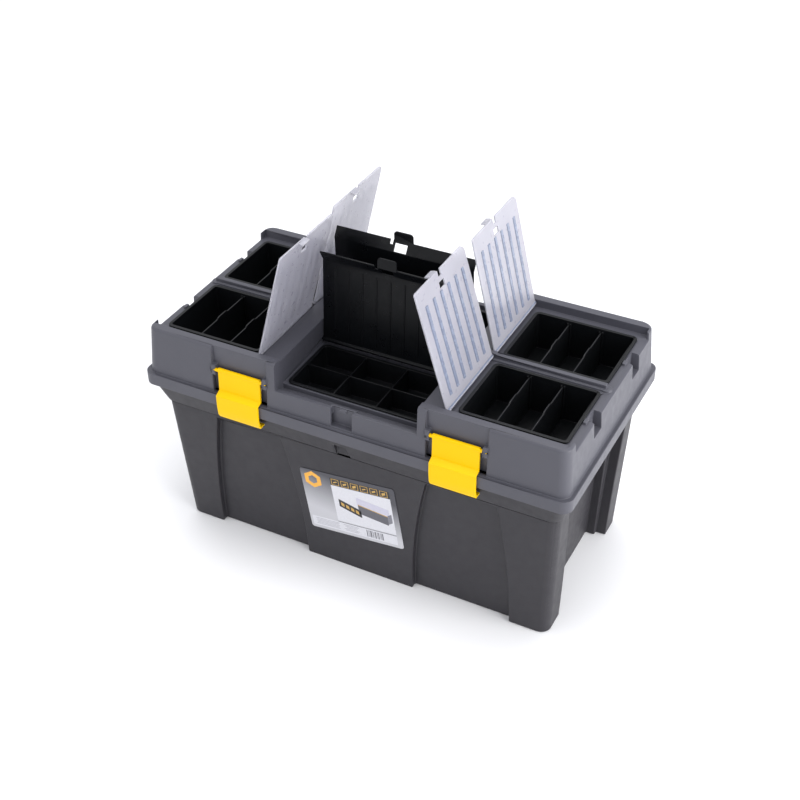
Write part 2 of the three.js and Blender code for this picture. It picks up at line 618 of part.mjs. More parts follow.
function lidKnuckles() {
  const pieces = [];
  for (const side of [-1, 1]) {
    const x0 = side * HINGE_X - KNUCKLE_LENGTH / 2;
    const x1 = side * HINGE_X + KNUCKLE_LENGTH / 2;
    const web = outline([[HALF_Y - 1, LID_Z], [HINGE_Y, LID_Z], [HINGE_Y + KNUCKLE - 0.5, LID_Z + 1],
      [HALF_Y - 1, LID_Z + 13]]);
    pieces.push(join(alongX(web, x0, x1), rodX(x0, x1, HINGE_Y, LID_Z, KNUCKLE)));
  }
  const whole = join(...pieces);
  const bore = rodX(-HINGE_X - 60, HINGE_X + 60, HINGE_Y, LID_Z, BORE);
  return cut(whole, bore);
}

function makeLid() {
  let lid = cut(lidOutside(), lidUnderside());
  lid = cut(join(lid, snapBacks(), endPockets()), lidTopside(), latchBays(), snapSlots(), endNotches());
  lid = join(lid, lidRidges(), latchCheeks(), lidKnuckles(), snapBacks());
  return cut(lid, lidPivotBores());
}

// ---- trays ----
// A tray whose flange rests on a deck: z = 0 is the deck's top plus the gap.
function trayShell(halfX, halfY, height) {
  const inner = FLANGE + TRAY_WALL;
  const flange = upright(halfX, halfY, 0, FLANGE_THICK, TRAY_CORNER);
  const body = upright(halfX - FLANGE, halfY - FLANGE, FLANGE_THICK - height, 1, TRAY_CORNER - FLANGE);
  const hollow = upright(halfX - inner, halfY - inner, FLANGE_THICK - height + TRAY_WALL,
    FLANGE_THICK + 1, TRAY_CORNER - inner);
  return cut(join(flange, body), hollow);
}

// Places of the removable dividers along a side tray.
const dividerPlaces = () => {
  const inside = TRAY_LENGTH - 2 * (FLANGE + TRAY_WALL);
  return Array.from({ length: DIVIDERS }, (_, i) => ((i + 1) / (DIVIDERS + 1) - 0.5) * inside);
};

function makeSideTray() {
  const wallY = TRAY_WIDTH / 2 - FLANGE - TRAY_WALL;
  const foot = FLANGE_THICK - TRAY_HEIGHT + TRAY_WALL - 0.5;
  let tray = trayShell(TRAY_LENGTH / 2, TRAY_WIDTH / 2, TRAY_HEIGHT);
  for (const place of dividerPlaces()) {
    for (const front of [-1, 1]) {
      const y = ordered(front * (wallY - GUIDE), front * (wallY + 0.5));
      for (const across of [-1, 1]) {
        const near = place + across * (DIVIDER_THICK / 2 + GAP);
        const far = near + across * 1.3;
        const x = ordered(near, far);
        tray = join(tray, block(...x, ...y, foot, FLANGE_THICK - DIVIDER_BELOW + 1));
      }
    }
  }
  return tray;
}

function makeDivider() {
  const half = TRAY_WIDTH / 2 - FLANGE - TRAY_WALL - GAP;
  const foot = FLANGE_THICK - TRAY_HEIGHT + TRAY_WALL + GAP;
  const top = FLANGE_THICK - DIVIDER_BELOW;
  const tab = 9;
  const shape = new THREE.Shape();
  shape.moveTo(-half + 2, foot);
  shape.lineTo(half - 2, foot);
  shape.lineTo(half, foot + 2);
  shape.lineTo(half, top);
  shape.lineTo(tab + TAB_RISE, top);
  shape.quadraticCurveTo(tab, top + TAB_RISE, tab - TAB_RISE, top + TAB_RISE);
  shape.lineTo(TAB_RISE - tab, top + TAB_RISE);
  shape.quadraticCurveTo(-tab, top + TAB_RISE, -tab - TAB_RISE, top);
  shape.lineTo(-half, top);
  shape.lineTo(-half, foot + 2);
  return alongX(shape, -DIVIDER_THICK / 2, DIVIDER_THICK / 2);
}

// Centre tray: three by two cells under one flange.
function makeCentreTray(end) {
  const half = CENTRE_TRAY_HALF;
  const width = centreTrayWidth(end);
  const floor = FLANGE_THICK - CENTRE_TRAY_HEIGHT + TRAY_WALL - 0.5;
  const top = FLANGE_THICK - 1.5;
  const insideX = half - FLANGE - TRAY_WALL;
  const insideY = width / 2 - FLANGE - TRAY_WALL;
  const web = 0.8;
  let tray = trayShell(half, width / 2, CENTRE_TRAY_HEIGHT);
  tray = join(tray, block(-insideX - 0.5, insideX + 0.5, -web, web, floor, top));
  for (const column of [-1, 1]) {
    const x = (column * insideX) / 3;
    tray = join(tray, block(x - web, x + web, -insideY - 0.5, insideY + 0.5, floor, top));
  }
  return tray;
}

// ---- covers ----
// Clear cover, drawn shut: the hinge axis is the Y axis and the plate reaches out along +X.
// The slot and the finger tab sit a little towards the front of the box, which is -Y on the right
// covers and +Y on the left ones, turned half round.
function makeClearCover(side) {
  const slot = side * COVER_SLOT_SHIFT;
  const half = (COVER_SPAN[1] - COVER_SPAN[0]) / 2;
  const t = COVER_THICK / 2;
  const shape = new THREE.Shape();
  const [low, high] = side > 0 ? [COVER_CORNERS.front, COVER_CORNERS.back]
    : [COVER_CORNERS.back, COVER_CORNERS.front];
  const end = COVER_LENGTH;
  shape.moveTo(0, -half);
  shape.lineTo(end - low, -half);
  shape.absarc(end - low, -half + low, low, -Math.PI / 2, 0);
  shape.absarc(end - high, half - high, high, 0, Math.PI / 2);
  shape.lineTo(0, half);
  let cover = solid(prism(shape, -t, t));
  cover = join(cover, rodY(-half, half, 0, 0, BARREL));
  cover = join(cover, rodY(-half - RIDGE_HALF - COVER_MARGIN + 1, half + RIDGE_HALF, 0, 0, TRUNNION));
  const slotY = ordered(slot - COVER_SLOT / 2, slot + COVER_SLOT / 2);
  cover = cut(cover, block(end - 8, end + 1, ...slotY, -t - 1, t + 1));
  cover = cut(cover, block(end - 21, end - 13, slot - 6, slot + 6, -t - 1, t + 1));
  const tabY = ordered(slot - (side * COVER_SLOT) / 2, slot - side * (COVER_SLOT / 2 + COVER_TAB));
  const tab = alongY(outline([[end - 3, t], [end - 3, t - 1.6], [end + 0.5, t + 0.4], [end + 0.5, t + 6],
    [end - 1.2, t + 6], [end - 1.2, t + 2]]), ...tabY);
  cover = join(cover, tab);
  for (let i = 0; i < COVER_RIBS; i += 1) {
    const y = ((i + 0.5) / COVER_RIBS - 0.5) * (2 * half - 14);
    const sides = [y - RIB_WIDTH / 2, y + RIB_WIDTH / 2];
    cover = join(cover, block(13, end - 22, ...sides, -t - RIB_RISE, -t + 0.5));
  }
  return cover;
}

// Centre cover, drawn shut and reaching out along -Y from its hinge axis on the X axis.
function makeCentreCover(end) {
  const t = FLAP_THICK / 2;
  const length = FLAP_REACH - FLAP_AXIS[end];
  const out = FLAP_LIP * Math.cos(FLAP_LIP_ANGLE);
  const down = FLAP_LIP * Math.sin(FLAP_LIP_ANGLE);
  const inward = 2 * t * Math.sin(FLAP_LIP_ANGLE);
  const section = outline([[0, t], [-length, t], [-length - out, t - down],
    [-length - out + inward, t - down - 2 * t * Math.cos(FLAP_LIP_ANGLE)],
    [-length + inward / 2, -t], [0, -t]]);
  let cover = join(alongX(section, -FLAP_HALF, FLAP_HALF), rodX(-FLAP_HALF, FLAP_HALF, 0, 0, FLAP_BARREL));
  cover = join(cover, rodX(-FLAP_HALF - SKIN, FLAP_HALF + SKIN, 0, 0, TRUNNION));
  const left = end === 'front' ? 1 : -1;
  const middle = left * FLAP_TAB_SHIFT;
  const tip = -length - out;
  const tab = upright(FLAP_TAB / 2, FLAP_TAB_RISE, -2 * t, 0, 4).translate([middle, tip, t - down]);
  cover = join(cover, cut(tab, block(middle - FLAP_TAB, middle + FLAP_TAB, tip + 2.5, 0, -length, length)));
  const beside = middle - left * (FLAP_TAB / 2 + 0.5);
  const notch = ordered(beside, beside - left * FLAP_NOTCH);
  const hole = ordered(middle - left * 10, middle - left * (10 - FLAP_HOLE));
  cover = cut(cover, block(...notch, tip - 1, tip + 6, -length, length));
  cover = cut(cover, block(...hole, -length - 9, -length + 0.5, -length, length));
  const ribs = 9;
  for (let i = 0; i < ribs; i += 1) {
    const x = ((i + 0.5) / ribs - 0.5) * 2 * (FLAP_HALF - 8);
    cover = join(cover, block(x - 0.8, x + 0.8, -length + 8, -8, -t - 0.8, -t + 0.5));
  }
  return cover;
}

// ---- latch ----
// Side profile of the strap: flat in the lid's bay, over the rim band, then in under the bin's catch.
function makeLatch() {
  const t = LATCH_THICK;
  const axis = LATCH_AXIS_Y;
  const over = HALF_Y + LATCH_STAND;
  const low = LID_Z - LATCH_REACH;
  const hookTop = BIN_HEIGHT - CATCH_TOP - CATCH_HEIGHT - 0.5;
  const tip = collarHalfY(hookTop) + SLACK;
  const outside = [[axis + 1.6, LATCH_AXIS_Z + 3.4], [axis + 3, BAND_TOP + 5], [over + t, BAND_TOP + 1],
    [over + t, LID_Z + 1], [over + t - 1, LID_Z - 10], [over + t - 4, low]];
  const inside = [[tip + 0.6, low], [tip, hookTop], [over - 2.4, hookTop], [over, LID_Z - 5],
    [over, BAND_TOP + 0.6], [axis + 0.4, BAND_TOP + 2.6], [axis - 1.4, LATCH_AXIS_Z - 4],
    [axis - 1.6, LATCH_AXIS_Z + 3.4]];
  const section = outline([...outside, ...inside].map(([y, z]) => [-y, z]));
  const half = LATCH_WIDTH / 2;
  const strap = alongX(section, -half, half);
  const reach = LATCH_BAY / 2 - 1;
  return join(strap, rodX(-reach, reach, -axis, LATCH_AXIS_Z, LATCH_PIVOT));
}

// ---- carry handle ----
function makeHandle() {
  const outer = WELL_HALF - HANDLE_SIDE;
  const inner = outer - HANDLE_ARM_THICK;
  const grip = new THREE.Shape();
  const g = GRIP / 2;
  grip.absellipse(-HANDLE_ARM, 0, g - 1.5, g, 0, 2 * Math.PI);
  const arm = new THREE.Shape();
  arm.moveTo(0, 6);
  arm.lineTo(-HANDLE_ARM, g - 1.5);
  arm.absarc(-HANDLE_ARM, 0, g - 1.5, Math.PI / 2, (3 * Math.PI) / 2);
  arm.lineTo(0, -6);
  arm.absarc(0, 0, 6, -Math.PI / 2, Math.PI / 2);
  let handle = alongX(grip, -outer + 1, outer - 1);
  for (const side of [-1, 1]) {
    const x = ordered(side * inner, side * outer);
    handle = join(handle, alongX(arm, ...x));
  }
  return cut(handle, rodX(-outer - 1, outer + 1, 0, 0, HANDLE_PIN + GAP));
}

const makeHandlePin = () => join(
  rodX(WELL_HALF - HANDLE_SIDE - HANDLE_ARM_THICK - 1, WELL_HALF + SKIN + 0.5, 0, 0, HANDLE_PIN),
  rodX(WELL_HALF - HANDLE_SIDE - HANDLE_ARM_THICK - 3, WELL_HALF - HANDLE_SIDE - HANDLE_ARM_THICK - GAP,
    0, 0, HANDLE_PIN + 1.5),
);

// ---- lift-out tray ----
const liftHalf = () => HALF_X - FOOT_INSET_X - END_DEPTHS[1] + DRAFT_X * LIFT_Z - WALL - LIFT_CLEAR_X;

function makeLiftTray() {
  const half = liftHalf();
  const halfY = LIFT_WIDTH / 2;
  const top = LIFT_Z + LIFT_HEIGHT;
  const w = LIFT_WALL;
  const floor = LIFT_Z + w - 0.5;
  const rim = upright(half + 2, halfY + 2, top - 2.5, top, 12);
  const body = upright(half, halfY, LIFT_Z, top, 10);
  let tray = cut(join(body, rim), upright(half - w, halfY - w, LIFT_Z + w, top + 1, 10 - w));
  const spine = block(-half + 1, half - 1, -w / 2, w / 2, floor, top - 12);
  tray = join(tray, spine);
  for (let i = 1; i < LIFT_BAYS; i += 1) {
    const x = (2 * i / LIFT_BAYS - 1) * half;
    tray = join(tray, block(x - w / 2, x + w / 2, -halfY + 1, 0, floor, top - 12));
  }
  return tray;
}

function makeLiftHandle() {
  const foot = LIFT_Z + LIFT_HEIGHT - 12 + GAP;
  const top = LIFT_Z + LIFT_HEIGHT + BAR_RISE;
  const shape = new THREE.Shape();
  shape.moveTo(-BAR_HALF, foot);
  shape.lineTo(-BAR_HALF + 6, top - 6);
  shape.quadraticCurveTo(-BAR_HALF + 8, top, -BAR_HALF + 16, top);
  shape.lineTo(BAR_HALF - 16, top);
  shape.quadraticCurveTo(BAR_HALF - 8, top, BAR_HALF - 6, top - 6);
  shape.lineTo(BAR_HALF, foot);
  shape.lineTo(BAR_HALF - 9, foot);
  shape.lineTo(BAR_HALF - 15, top - BAR_THICK);
  shape.lineTo(15 - BAR_HALF, top - BAR_THICK);
  shape.lineTo(9 - BAR_HALF, foot);
  return alongY(shape, -7, 7);
}

// ---- hinge pin and label ----
const makeHingePin = () => {
  const half = 1.5 * KNUCKLE_LENGTH + SLACK - 1;
  return rodX(-half, half, HINGE_Y, LID_Z, PIN);
};

function makeLabel() {
  const plate = prism(roundedRect(LABEL_WIDTH / 2, LABEL_HEIGHT / 2, 4), 0, LABEL_THICK);
  plate.rotateZ(THREE.MathUtils.degToRad(LABEL_TURN)).rotateX(Math.PI / 2 + Math.atan(DRAFT_Y));
  const face = HALF_Y - FOOT_INSET_Y + DRAFT_Y * LABEL_Z + GAP / Math.cos(Math.atan(DRAFT_Y));
  return solid(plate.translate(LABEL_X, -face, LABEL_Z));
}

// ---- materials ----
const plastic = (color, roughness) => new THREE.MeshStandardMaterial({ color, roughness, metalness: 0 });
const lidGrey = plastic(0x5f5f67, 0.5);
const binGrey = plastic(0x4a494e, 0.55);
const trayBlack = plastic(0x141518, 0.45);
const clearPlastic = new THREE.MeshStandardMaterial({
  color: 0xdad6e2, roughness: 0.35, metalness: 0, transparent: true, opacity: 0.6,
});
const latchYellow = plastic(0xfed500, 0.4);
const pinSteel = new THREE.MeshStandardMaterial({ color: 0x9a9a9a, roughness: 0.35, metalness: 1 });
const labelPaper = plastic(0xb8b8bc, 0.4);

// ---- assembly ----
const toolbox = new THREE.Group();

function place(parent, name, manifold, material, x = 0, y = 0, z = 0) {
  const mesh = new THREE.Mesh(geometryOf(manifold), material);
  mesh.name = name;
  mesh.position.set(x, y, z);
  parent.add(mesh);
  return mesh;
}

function pivot(x, y, z) {
  const group = new THREE.Group();
  group.position.set(x, y, z);
  toolbox.add(group);
  return group;
}

place(toolbox, 'bin', makeBin(), binGrey);
place(toolbox, 'label', makeLabel(), labelPaper);
place(toolbox, 'lid', makeLid(), lidGrey);
place(toolbox, 'lift_out_tray', makeLiftTray(), trayBlack);
place(toolbox, 'lift_out_handle', makeLiftHandle(), trayBlack);

const handleZ = CENTRE_Z + HANDLE_LIFT;
place(toolbox, 'carry_handle', makeHandle(), trayBlack, 0, HANDLE_AXIS_Y, handleZ);

const degrees = THREE.MathUtils.degToRad;
for (const [side, sideName] of [[-1, 'left'], [1, 'right']]) {
  const turn = side < 0 ? Math.PI : 0;
  place(toolbox, `latch_${sideName}`, makeLatch(), latchYellow, side * LATCH_X, 0, 0);
  place(toolbox, `hinge_pin_${sideName}`, makeHingePin(), pinSteel, side * HINGE_X, 0, 0);
  const pin = place(toolbox, `handle_pin_${sideName}`, makeHandlePin(), trayBlack, 0, HANDLE_AXIS_Y, handleZ);
  pin.rotation.z = turn;
  for (const [front, frontName] of [[-1, 'front'], [1, 'back']]) {
    const tail = `${frontName}_${sideName}`;
    const middleX = side * (TRAY_X + TRAY_LENGTH / 2);
    const middleY = front * (TRAY_GAP + TRAY_WIDTH / 2);
    const tray = pivot(middleX, middleY, DECK_Z + GAP);
    place(tray, `side_tray_${tail}`, makeSideTray(), trayBlack);
    for (const [i, x] of dividerPlaces().entries()) {
      const label = side * x < 0 ? 'inner' : 'outer';
      place(tray, `divider_${tail}_${label}`, makeDivider(), trayBlack, dividerPlaces()[i]);
    }
    const coverMiddle = (front * (COVER_SPAN[0] + COVER_SPAN[1])) / 2;
    const hinge = pivot(side * COVER_AXIS_X, coverMiddle, COVER_AXIS_Z);
    hinge.rotation.z = turn;
    const leaf = place(hinge, `clear_cover_${tail}`, makeClearCover(side), clearPlastic);
    leaf.rotation.y = -degrees(90 + COVER_LEAN[tail]);
  }
}

for (const [front, end] of [[-1, 'front'], [1, 'back']]) {
  const tray = makeCentreTray(end);
  place(toolbox, `centre_tray_${end}`, tray, trayBlack, 0, centreTrayMiddle(end), CENTRE_Z + GAP);
  const hinge = pivot(0, front * FLAP_AXIS[end], FLAP_AXIS_Z);
  hinge.rotation.z = front < 0 ? 0 : Math.PI;
  const leaf = place(hinge, `centre_cover_${end}`, makeCentreCover(end), trayBlack);
  leaf.rotation.x = -degrees(90 + FLAP_LEAN[end]);
}

export default toolbox;
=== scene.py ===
"""Looks of a long toolbox whose lid carries covered small-part trays.

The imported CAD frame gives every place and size. Each part is a rounded, finely finished copy of its CAD
node; the sticker's print and the studio are modelled here. Metres, +Z up.
"""

import json
import logging
import math
from dataclasses import dataclass, field
from enum import Enum

import bpy
from mathutils import Matrix, Vector


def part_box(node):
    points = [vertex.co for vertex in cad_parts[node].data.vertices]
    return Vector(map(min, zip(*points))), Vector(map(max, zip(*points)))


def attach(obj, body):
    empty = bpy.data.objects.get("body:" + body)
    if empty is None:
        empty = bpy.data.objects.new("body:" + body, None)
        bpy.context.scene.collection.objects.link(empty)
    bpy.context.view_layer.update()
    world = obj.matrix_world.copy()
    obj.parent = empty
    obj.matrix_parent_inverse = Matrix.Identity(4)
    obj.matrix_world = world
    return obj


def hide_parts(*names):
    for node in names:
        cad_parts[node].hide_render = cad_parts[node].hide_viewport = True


LOG = logging.getLogger("toolbox")
MM = 0.001
MERGE_DISTANCE = 0.01 * MM
ROUNDED_ANGLE = math.radians(38)  # sharper edges are rounded
SMOOTH_ANGLE = math.radians(42)  # flatter edges are shaded as one surface
NORMAL_WEIGHT = 60
PARALLEL = 0.99  # least cosine between two faces that count as parallel
NOISE_LOW, NOISE_HIGH = 0.3, 0.7  # nearly all of a noise lies between these

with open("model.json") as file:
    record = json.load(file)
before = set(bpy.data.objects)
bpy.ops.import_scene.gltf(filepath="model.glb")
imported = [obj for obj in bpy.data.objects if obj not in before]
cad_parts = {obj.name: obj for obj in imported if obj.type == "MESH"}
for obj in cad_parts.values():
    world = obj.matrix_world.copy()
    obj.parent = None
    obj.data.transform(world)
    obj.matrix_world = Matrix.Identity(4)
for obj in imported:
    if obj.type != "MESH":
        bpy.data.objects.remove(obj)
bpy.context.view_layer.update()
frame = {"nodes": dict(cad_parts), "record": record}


class Edge(Enum):
    """Radius of a moulded edge, in metres."""

    BROAD = 1.5 * MM
    MIDDLE = 0.8 * MM
    THIN = 0.45 * MM
    FINE = 0.3 * MM


# ---- finishes ----
def shade(colour: tuple, factor: float) -> tuple:
    """A lighter or darker form of a colour.

    Args:
        colour: Linear RGB.
        factor: Below 1 for darker, above 1 for lighter.

    Returns:
        Linear RGB, at most 1.
    """
    return tuple(min(1.0, part * factor) for part in colour)


@dataclass(frozen=True)
class Graph:
    """A material's node graph, with short ways to add and join nodes."""

    material: bpy.types.Material

    @classmethod
    def named(cls, name: str) -> "Graph":
        """Starts a node material.

        Args:
            name: The material's name.

        Returns:
            The graph of the new material.
        """
        material = bpy.data.materials.new(name)
        material.use_nodes = True
        return cls(material)

    @property
    def shader(self) -> bpy.types.Node:
        """The graph's Principled shader."""
        return self.material.node_tree.nodes["Principled BSDF"]

    def node(self, kind: str, **values: object) -> bpy.types.Node:
        """Adds a node.

        Args:
            kind: The node's type without the leading "ShaderNode".
            values: Input sockets to set, by name with underscores for spaces.

        Returns:
            The new node.
        """
        made = self.material.node_tree.nodes.new("ShaderNode" + kind)
        for name, value in values.items():
            made.inputs[name.replace("_", " ")].default_value = value
        return made

    def link(self, source: bpy.types.NodeSocket, target: bpy.types.NodeSocket) -> None:
        """Joins two sockets.

        Args:
            source: The socket that gives the value.
            target: The socket that takes it.
        """
        self.material.node_tree.links.new(source, target)

    def noise(self, scale: float, detail: float = 3.0) -> bpy.types.NodeSocket:
        """A noise pattern fixed to the object.

        Args:
            scale: Waves in a metre.
            detail: Octaves of the noise.

        Returns:
            The noise's value, from 0 to 1.
        """
        place = self.node("TexCoord")
        noise = self.node("TexNoise", Scale=scale, Detail=detail)
        self.link(place.outputs["Object"], noise.inputs["Vector"])
        return noise.outputs["Fac"]

    def ramp(self, value: bpy.types.NodeSocket, low: float, high: float) -> bpy.types.NodeSocket:
        """Spreads a noise value over a range.

        Args:
            value: The value to spread.
            low: Result for a low noise value.
            high: Result for a high noise value.

        Returns:
            The spread value.
        """
        spread = self.node("MapRange")
        spread.inputs["From Min"].default_value = NOISE_LOW
        spread.inputs["From Max"].default_value = NOISE_HIGH
        spread.inputs["To Min"].default_value = low
        spread.inputs["To Max"].default_value = high
        self.link(value, spread.inputs["Value"])
        return spread.outputs["Result"]

    def mix(self, value: bpy.types.NodeSocket, first: tuple, second: tuple) -> bpy.types.NodeSocket:
        """A colour between two others.

        Args:
            value: 0 for the first colour, 1 for the second.
            first: Linear RGB.
            second: Linear RGB.

        Returns:
            The mixed colour.
        """
        first_colour, second_colour, colour_out = 6, 7, 2
        mix = self.node("Mix")
        mix.data_type = "RGBA"
        mix.inputs[first_colour].default_value = (*first, 1.0)
        mix.inputs[second_colour].default_value = (*second, 1.0)
        self.link(value, mix.inputs["Factor"])
        return mix.outputs[colour_out]

    def clouded(self, colour: tuple, scale: float, spread: tuple, detail: float = 3.0) -> None:
        """Gives the surface a colour that is a little darker and lighter in clouds.

        Args:
            colour: Linear RGB.
            scale: Waves in a metre.
            spread: The darkest and the lightest shade, as factors of the colour.
            detail: Octaves of the clouds.
        """
        darkest, lightest = spread
        clouds = self.ramp(self.noise(scale, detail), 0.0, 1.0)
        made = self.mix(clouds, shade(colour, darkest), shade(colour, lightest))
        self.link(made, self.shader.inputs["Base Color"])

    def worn(self, roughness: float, scale: float, spread: tuple) -> None:
        """Makes the surface a little smoother and rougher in places.

        Args:
            roughness: The middle value, from 0 to 1.
            scale: Waves in a metre.
            spread: How far the smoothest and the roughest places are from it.
        """
        smoother, rougher = spread
        wear = self.ramp(self.noise(scale), roughness + smoother, roughness + rougher)
        self.link(wear, self.shader.inputs["Roughness"])

    def bump(self, height: bpy.types.NodeSocket, depth: float, strength: float) -> None:
        """Presses a pattern into the surface.

        Args:
            height: The pattern.
            depth: Depth of the pattern in metres.
            strength: From 0 to 1.
        """
        bump = self.node("Bump", Strength=strength, Distance=depth)
        self.link(height, bump.inputs["Height"])
        self.link(bump.outputs["Normal"], self.shader.inputs["Normal"])


@dataclass(frozen=True)
class MouldedPlastic:
    """Injection-moulded polypropylene with a spark-eroded satin texture.

    Scales are waves in a metre; depths are metres.
    """

    name: str
    colour: tuple
    roughness: float = 0.42
    grain: float = 0.25
    grain_scale: float = 1400.0
    gloss: float = 0.5
    cloud: float = 0.04
    cloud_scale: float = 14.0
    wear_scale: float = 90.0
    wear: tuple = (-0.04, 0.06)
    grain_depth: float = 0.05 * MM

    def material(self) -> bpy.types.Material:
        """Builds the material: faint clouding, uneven gloss and a fine grain."""
        graph = Graph.named(self.name)
        graph.clouded(self.colour, self.cloud_scale, (1 - self.cloud, 1 + self.cloud), detail=4.0)
        graph.worn(self.roughness, self.wear_scale, self.wear)
        graph.shader.inputs["Specular IOR Level"].default_value = self.gloss
        graph.bump(graph.noise(self.grain_scale, detail=2.0), self.grain_depth, self.grain)
        return graph.material


@dataclass(frozen=True)
class ClearPlastic:
    """Milky translucent polypropylene.

    Scales are waves in a metre; depths are metres.
    """

    name: str
    colour: tuple
    cover: float = 0.72
    roughness: float = 0.3
    depth: float = 8 * MM
    gloss: float = 0.35
    haze_scale: float = 22.0
    haze: tuple = (0.96, 1.03)
    wear_scale: float = 160.0
    wear: tuple = (-0.04, 0.08)
    grain_scale: float = 500.0
    grain_depth: float = 0.04 * MM
    grain: float = 0.2

    def material(self) -> bpy.types.Material:
        """Builds the material: milky body, soft see-through and a faint haze."""
        graph = Graph.named(self.name)
        graph.clouded(self.colour, self.haze_scale, self.haze)
        graph.worn(self.roughness, self.wear_scale, self.wear)
        graph.shader.inputs["Alpha"].default_value = self.cover
        graph.shader.inputs["Subsurface Weight"].default_value = 1.0
        graph.shader.inputs["Subsurface Radius"].default_value = (1.0, 1.0, 1.0)
        graph.shader.inputs["Subsurface Scale"].default_value = self.depth
        graph.shader.inputs["Specular IOR Level"].default_value = self.gloss
        graph.bump(graph.noise(self.grain_scale, detail=2.0), self.grain_depth, self.grain)
        return graph.material


@dataclass(frozen=True)
class SteelWire:
    """Drawn bright steel wire."""

    name: str
    colour: tuple
    roughness: float = 0.28
    tone_scale: float = 700.0
    tone: tuple = (0.85, 1.0)
    mark_scale: float = 900.0
    mark_depth: float = 0.02 * MM
    marks: float = 0.3

    def material(self) -> bpy.types.Material:
        """Builds the material: bright metal with faint draw marks."""
        graph = Graph.named(self.name)
        graph.clouded(self.colour, self.tone_scale, self.tone, detail=2.0)
        graph.shader.inputs["Metallic"].default_value = 1.0
        graph.shader.inputs["Roughness"].default_value = self.roughness
        graph.bump(graph.noise(self.mark_scale, detail=1.0), self.mark_depth, self.marks)
        return graph.material


@dataclass(frozen=True)
class PrintedFilm:
    """Self-adhesive film, printed from charcoal at the top to silver at the foot.

    The print changes at the height split, over fade metres to each side of it.
    """

    name: str
    dark: tuple
    silver: tuple
    split: float
    fade: float
    slope: float = 0.12
    roughness: float = 0.28
    wave_scale: float = 60.0
    wave_depth: float = 0.05 * MM
    waves: float = 0.15

    def material(self) -> bpy.types.Material:
        """Builds the material: a slanting print gradient under a glossy laminate."""
        graph = Graph.named(self.name)
        place = graph.node("TexCoord")
        axes = graph.node("SeparateXYZ")
        graph.link(place.outputs["Object"], axes.inputs["Vector"])
        slant = graph.node("Math")
        slant.operation = "MULTIPLY_ADD"
        slant.inputs[1].default_value = self.slope
        graph.link(axes.outputs["X"], slant.inputs[0])
        graph.link(axes.outputs["Z"], slant.inputs[2])
        level = graph.node("MapRange")
        level.inputs["From Min"].default_value = self.split - self.fade
        level.inputs["From Max"].default_value = self.split + self.fade
        graph.link(slant.outputs["Value"], level.inputs["Value"])
        colour = graph.mix(level.outputs["Result"], self.silver, self.dark)
        graph.link(colour, graph.shader.inputs["Base Color"])
        graph.shader.inputs["Roughness"].default_value = self.roughness
        graph.bump(graph.noise(self.wave_scale, detail=2.0), self.wave_depth, self.waves)
        return graph.material


@dataclass(frozen=True)
class Ink:
    """One printed colour."""

    name: str
    colour: tuple
    roughness: float = 0.3
    mottle_scale: float = 400.0
    mottle: tuple = (0.95, 1.02)

    def material(self) -> bpy.types.Material:
        """Builds the material: flat ink with a faint print mottle."""
        graph = Graph.named(self.name)
        graph.clouded(self.colour, self.mottle_scale, self.mottle, detail=2.0)
        graph.shader.inputs["Roughness"].default_value = self.roughness
        return graph.material


Finish = MouldedPlastic | ClearPlastic | SteelWire | PrintedFilm | Ink

LID_GREY = MouldedPlastic("lid grey polypropylene", (0.072, 0.072, 0.088), gloss=0.4)
BIN_CHARCOAL = MouldedPlastic(
    "bin charcoal polypropylene", (0.028, 0.0265, 0.0315), roughness=0.5, grain=0.3, gloss=0.35,
)
TRAY_BLACK = MouldedPlastic(
    "tray black polypropylene", (0.0045, 0.005, 0.006), roughness=0.34, grain=0.15, gloss=0.3,
)
COVER_BLACK = MouldedPlastic(
    "cover black polypropylene", (0.0035, 0.004, 0.005), roughness=0.3, grain=0.12, gloss=0.16,
)
HANDLE_BLACK = MouldedPlastic(
    "handle black polypropylene", (0.006, 0.0065, 0.0075), roughness=0.45, grain=0.3, gloss=0.3,
)
LATCH_YELLOW = MouldedPlastic(
    "latch yellow polypropylene", (0.92, 0.55, 0.0005), roughness=0.35, grain=0.08, grain_scale=900.0,
    gloss=0.12, cloud=0.02,
)
COVER_CLEAR = ClearPlastic("cover natural polypropylene", (0.40, 0.395, 0.445))
COVER_BAR = ClearPlastic("cover bar natural polypropylene", (0.20, 0.23, 0.32), cover=0.8, roughness=0.25)
PIN_STEEL = SteelWire("bright steel wire", (0.6, 0.6, 0.62))
LABEL_FILM = PrintedFilm(
    "label film", dark=(0.05, 0.05, 0.062), silver=(0.52, 0.52, 0.55), split=0.112, fade=0.03,
)
PRINT_ORANGE = Ink("print orange", (0.85, 0.42, 0.05))
PRINT_GOLD = Ink("print gold", (0.55, 0.34, 0.08))
PRINT_BLACK = Ink("print black", (0.012, 0.012, 0.014))
PRINT_WHITE = Ink("print white", (0.66, 0.66, 0.70))
PRINT_PALE = Ink("print pale grey", (0.42, 0.42, 0.46))
PRINT_GREY = Ink("print box grey", (0.10, 0.10, 0.12))
PRINT_END_GREY = Ink("print end grey", (0.2, 0.2, 0.23))
PRINT_LILAC = Ink("print lilac", (0.55, 0.54, 0.64))
FINISHES: dict[str, Finish] = {
    "lid_plastic": LID_GREY,
    "bin_plastic": BIN_CHARCOAL,
    "tray_plastic": TRAY_BLACK,
    "flap_plastic": COVER_BLACK,
    "handle_plastic": HANDLE_BLACK,
    "clear_plastic": COVER_CLEAR,
    "latch_plastic": LATCH_YELLOW,
    "pin_steel": PIN_STEEL,
    "label_film": LABEL_FILM,
}


# ---- modelling by hand ----
def deselect_everything() -> None:
    """Leaves nothing selected, so that an operator acts on the new primitive alone."""
    for other in bpy.context.selected_objects:
        other.select_set(False)


